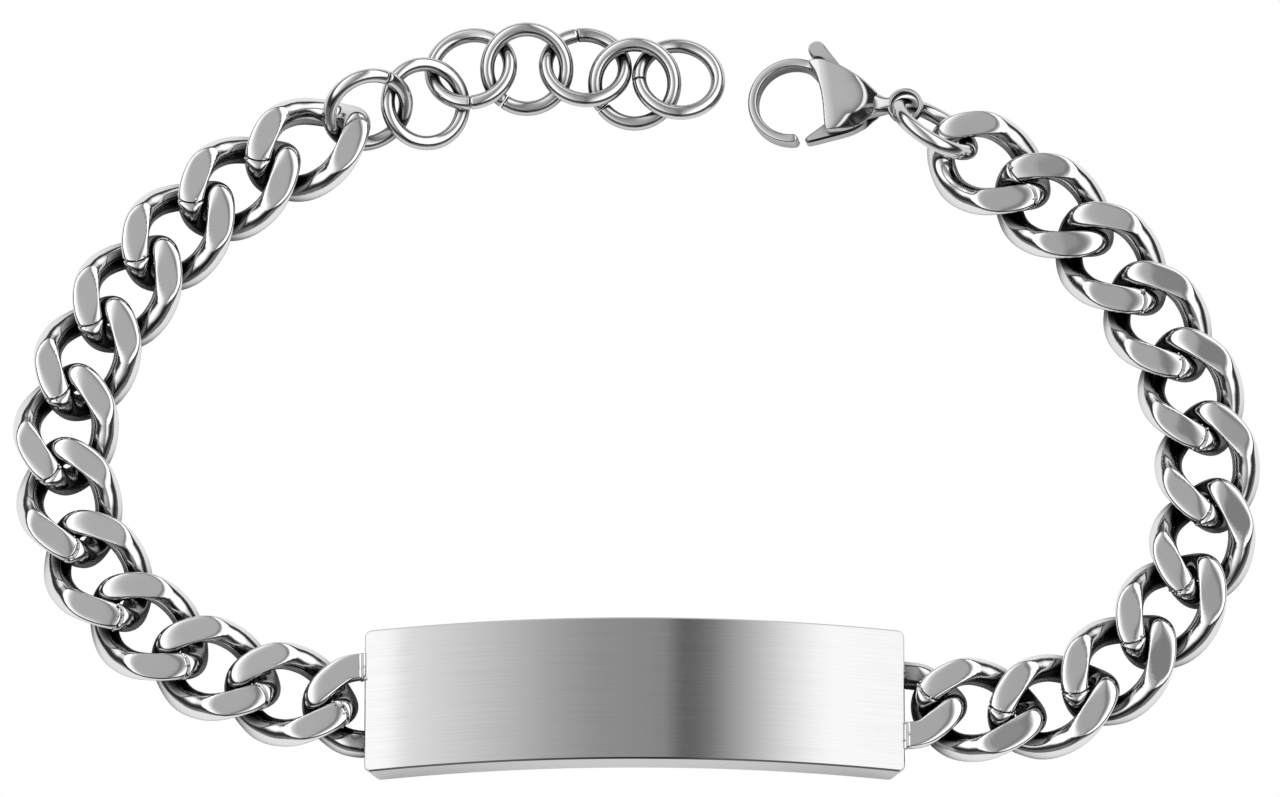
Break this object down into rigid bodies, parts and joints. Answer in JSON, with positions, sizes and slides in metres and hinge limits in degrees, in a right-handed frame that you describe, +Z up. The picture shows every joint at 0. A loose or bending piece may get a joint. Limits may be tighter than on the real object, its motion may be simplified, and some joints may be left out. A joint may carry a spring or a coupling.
{
  "type": "id bracelet",
  "caption": "Identity bracelet lying open: arched bare name plate between curb chains, with a lobster clasp at one end and an extension of round rings at the other.",
  "frame": {"origin": "middle of the bracelet's outline, on the surface that it lies on", "axes": "+X along the name plate, towards the clasp's half of the chain; +Y from the name plate towards the clasp; +Z up from the surface"},
  "size_m": [0.0926, 0.059, 0.0063],
  "materials": {
    "plate": "brushed along its length",
    "chain": "polished steel with flat ground faces",
    "rings": "polished steel wire",
    "clasp": "polished cast steel"
  },
  "bodies": {
    "bracelet": {"id_plate": "plate", "left_link_01": "chain", "left_link_02": "chain", "left_link_03": "chain", "left_link_04": "chain", "left_link_05": "chain", "left_link_06": "chain", "left_link_07": "chain", "left_link_08": "chain", "left_link_09": "chain", "left_link_10": "chain", "left_link_11": "chain", "right_link_01": "chain", "right_link_02": "chain", "right_link_03": "chain", "right_link_04": "chain", "right_link_05": "chain", "right_link_06": "chain", "right_link_07": "chain", "right_link_08": "chain", "right_link_09": "chain", "right_link_10": "chain", "right_link_11": "chain", "extension_ring_1": "rings", "extension_ring_2": "rings", "extension_ring_3": "rings", "extension_ring_4": "rings", "extension_ring_5": "rings", "extension_ring_6": "rings", "extension_ring_7": "rings", "clasp_ring": "clasp", "clasp_body": "clasp"},
    "lever": {"clasp_lever": "clasp"}
  },
  "joints": [
    {"name": "lever_pivot", "type": "hinge", "parent": "bracelet", "child": "lever", "pos_m": [0.01628, 0.02362, 0.0022], "axis": [0.164, -0.0184, -0.9863], "range_deg": [0, 25], "stiffness_Nm_per_rad": 0.01}
  ]
}
